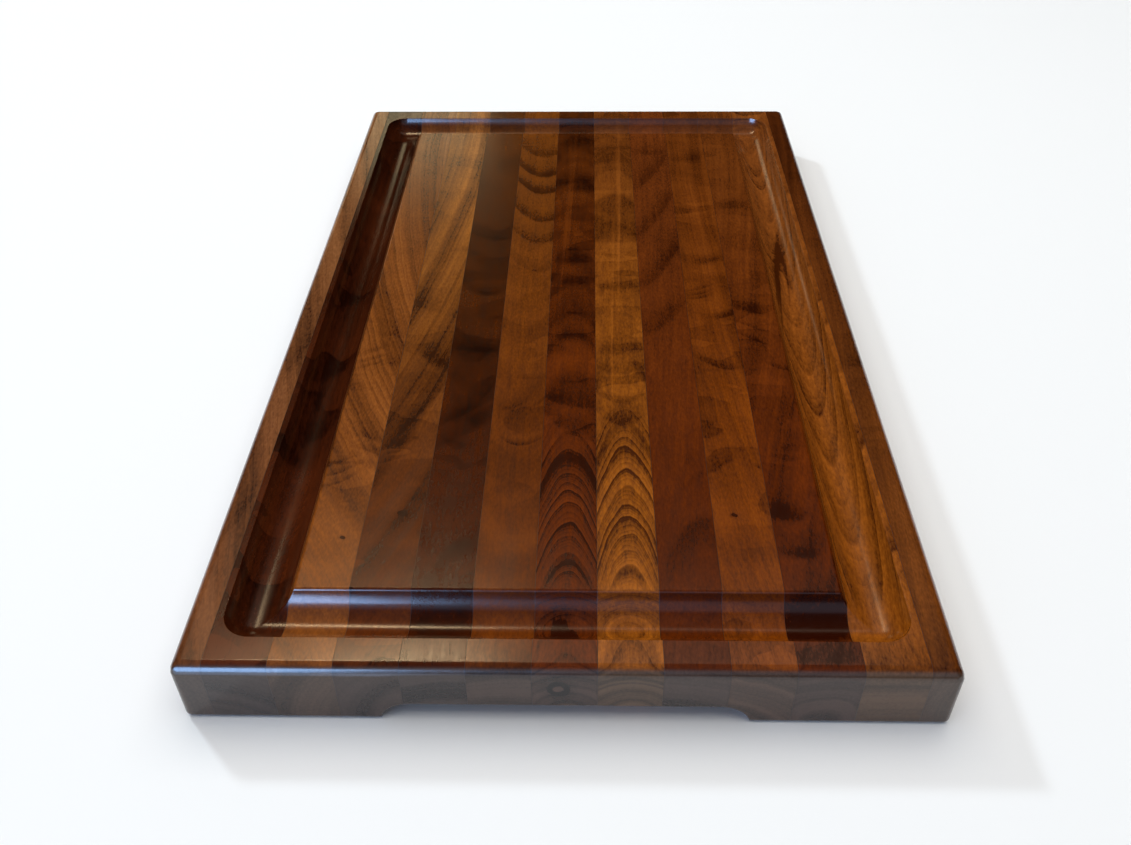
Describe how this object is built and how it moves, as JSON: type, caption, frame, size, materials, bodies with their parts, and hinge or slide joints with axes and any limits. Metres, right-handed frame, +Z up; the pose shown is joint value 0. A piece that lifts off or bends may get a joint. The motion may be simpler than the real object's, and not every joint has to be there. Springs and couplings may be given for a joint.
{
  "type": "cutting board",
  "caption": "Thick rectangular carving board of edge-glued walnut strips, with a coved juice groove round the top and a finger grip under each end.",
  "frame": {"origin": "middle of the flat underside, on the surface that the board rests on", "axes": "+Z up out of the cutting surface, +Y along the board's length and the grain of its strips, +X across the strips"},
  "size_m": [0.3048, 0.508, 0.0318],
  "materials": {
    "walnut_dark": "oiled, satin",
    "walnut_red": "oiled, satin",
    "walnut_mid": "oiled, satin",
    "walnut_golden": "oiled, satin",
    "walnut_light": "oiled, satin",
    "wood_glue": "cured brown wood glue under oil"
  },
  "bodies": {
    "root": {"walnut_strip_01": "walnut_light", "walnut_strip_02": "walnut_dark", "walnut_strip_03": "walnut_golden", "walnut_strip_04": "walnut_mid", "walnut_strip_05": "walnut_dark", "walnut_strip_06": "walnut_mid", "walnut_strip_07": "walnut_dark", "walnut_strip_08": "walnut_golden", "walnut_strip_09": "walnut_red", "walnut_strip_10": "walnut_mid", "walnut_strip_11": "walnut_red", "walnut_strip_12": "walnut_light", "walnut_strip_13": "walnut_red", "glue_line_01": "wood_glue", "glue_line_02": "wood_glue", "glue_line_03": "wood_glue", "glue_line_04": "wood_glue", "glue_line_05": "wood_glue", "glue_line_06": "wood_glue", "glue_line_07": "wood_glue", "glue_line_08": "wood_glue", "glue_line_09": "wood_glue", "glue_line_10": "wood_glue", "glue_line_11": "wood_glue", "glue_line_12": "wood_glue"}
  },
  "joints": []
}
